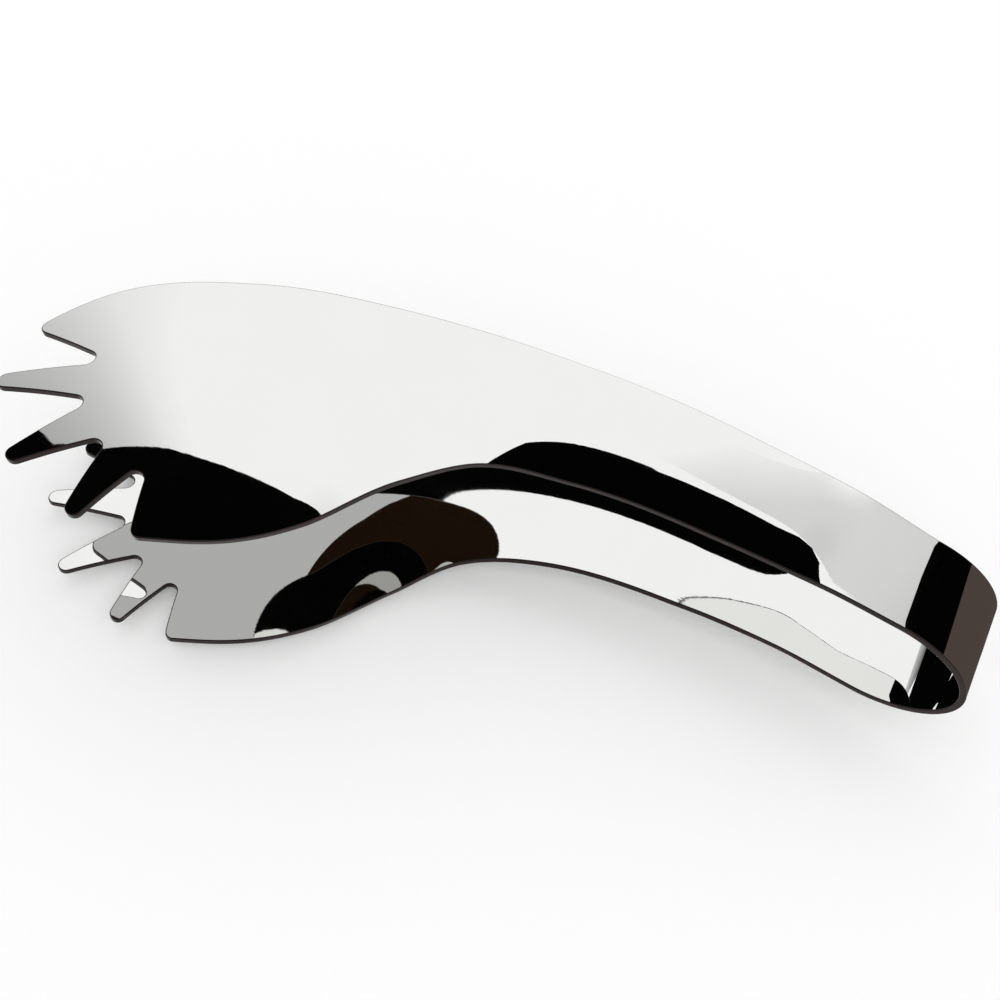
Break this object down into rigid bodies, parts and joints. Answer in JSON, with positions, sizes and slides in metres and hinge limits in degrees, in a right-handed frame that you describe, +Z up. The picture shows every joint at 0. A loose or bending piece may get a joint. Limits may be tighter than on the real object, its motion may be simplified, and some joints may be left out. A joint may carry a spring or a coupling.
{
  "type": "relish tongs",
  "caption": "Sprung serving tongs folded from one strip of mirror-polished steel, with swept arms that narrow to a waist and end in facing fork heads.",
  "frame": {"origin": "centre of the underside of the box round the whole part, arms at rest", "axes": "+X towards the bow, along the straight run of the arms beside it; +Y along the bow's axis, away from the side the arms sweep to; +Z up, from the lower arm to the upper arm"},
  "size_m": [0.1646, 0.0848, 0.0384],
  "materials": {
    "polished_stainless": "mirror-polished stainless steel sheet"
  },
  "bodies": {
    "bow": {"spring_bow": "polished_stainless"},
    "upper": {"upper_arm": "polished_stainless"},
    "lower": {"lower_arm": "polished_stainless"}
  },
  "joints": [
    {"name": "upper_flex", "type": "hinge", "parent": "bow", "child": "upper", "pos_m": [0.0771, 0.03014, 0.02728], "axis": [0, -1, 0], "range_deg": [0, 5.8], "stiffness_Nm_per_rad": 12},
    {"name": "lower_flex", "type": "hinge", "parent": "bow", "child": "lower", "pos_m": [0.0771, 0.03014, 0.01116], "axis": [0, 1, 0], "range_deg": [0, 5.8], "stiffness_Nm_per_rad": 12}
  ],
  "couplings": [
    {"joint": "lower_flex", "follows": "upper_flex", "ratio": 1}
  ]
}
